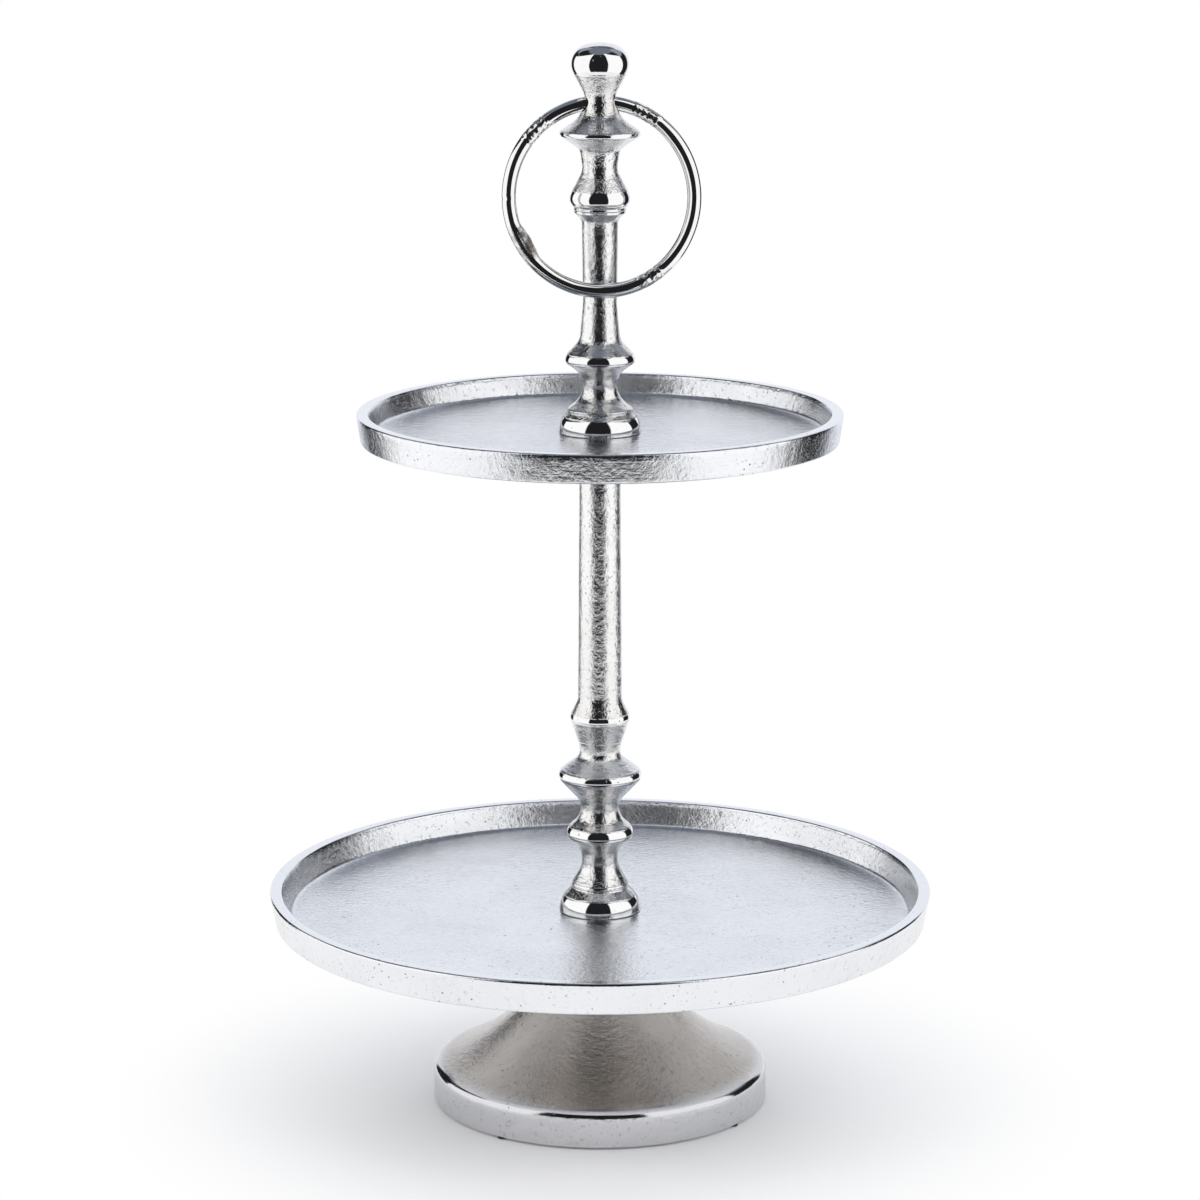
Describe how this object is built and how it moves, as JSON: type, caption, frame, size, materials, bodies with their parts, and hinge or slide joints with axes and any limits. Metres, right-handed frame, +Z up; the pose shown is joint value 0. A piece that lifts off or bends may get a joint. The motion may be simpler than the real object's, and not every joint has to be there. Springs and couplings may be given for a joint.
{
  "type": "tiered cake stand",
  "caption": "Free-standing two-tier cake stand: trumpet foot, two lipped round trays on turned columns, ball finial and a swinging ring handle.",
  "frame": {"origin": "on the table, at the centre of the foot, level with the undersides of its rubber pads", "axes": "+Z up along the common axis of both columns; +X along the ring handle's hinge, to the right; -Y towards the front, where the ring hangs"},
  "size_m": [0.3296, 0.3295, 0.528],
  "materials": {
    "foot_casting": "sand-cast aluminium, nickel-plated, part-polished, warm grey with fine grain and pits",
    "tray_casting": "sand-cast aluminium, nickel-plated, satin floor, polished lip, grainy walls",
    "column_casting": "sand-cast aluminium, nickel-plated, polished beads, grainy hollows",
    "ring_rod": "nickel-plated rod, polished, with worn patches and a rough weld",
    "zinc_steel": "zinc-plated steel",
    "gasket": "thin dark fibre washer",
    "pad_rubber": "matte rubber"
  },
  "bodies": {
    "stand": {"foot": "foot_casting", "foot_pad_1": "pad_rubber", "foot_pad_2": "pad_rubber", "foot_pad_3": "pad_rubber", "foot_pad_4": "pad_rubber", "foot_bolt": "zinc_steel", "foot_spring_washer": "zinc_steel", "foot_flat_washer": "zinc_steel", "lower_plate": "tray_casting", "lower_column_gasket": "gasket", "lower_column": "column_casting", "upper_plate": "tray_casting", "upper_column_gasket": "gasket", "coupling_stud": "zinc_steel", "upper_column": "column_casting"},
    "handle": {"handle_ring": "ring_rod"}
  },
  "joints": [
    {"name": "ring_swing", "type": "hinge", "parent": "stand", "child": "handle", "pos_m": [0, 0, 0.4991], "axis": [-1, 0, 0], "range_deg": [0, 344]}
  ]
}
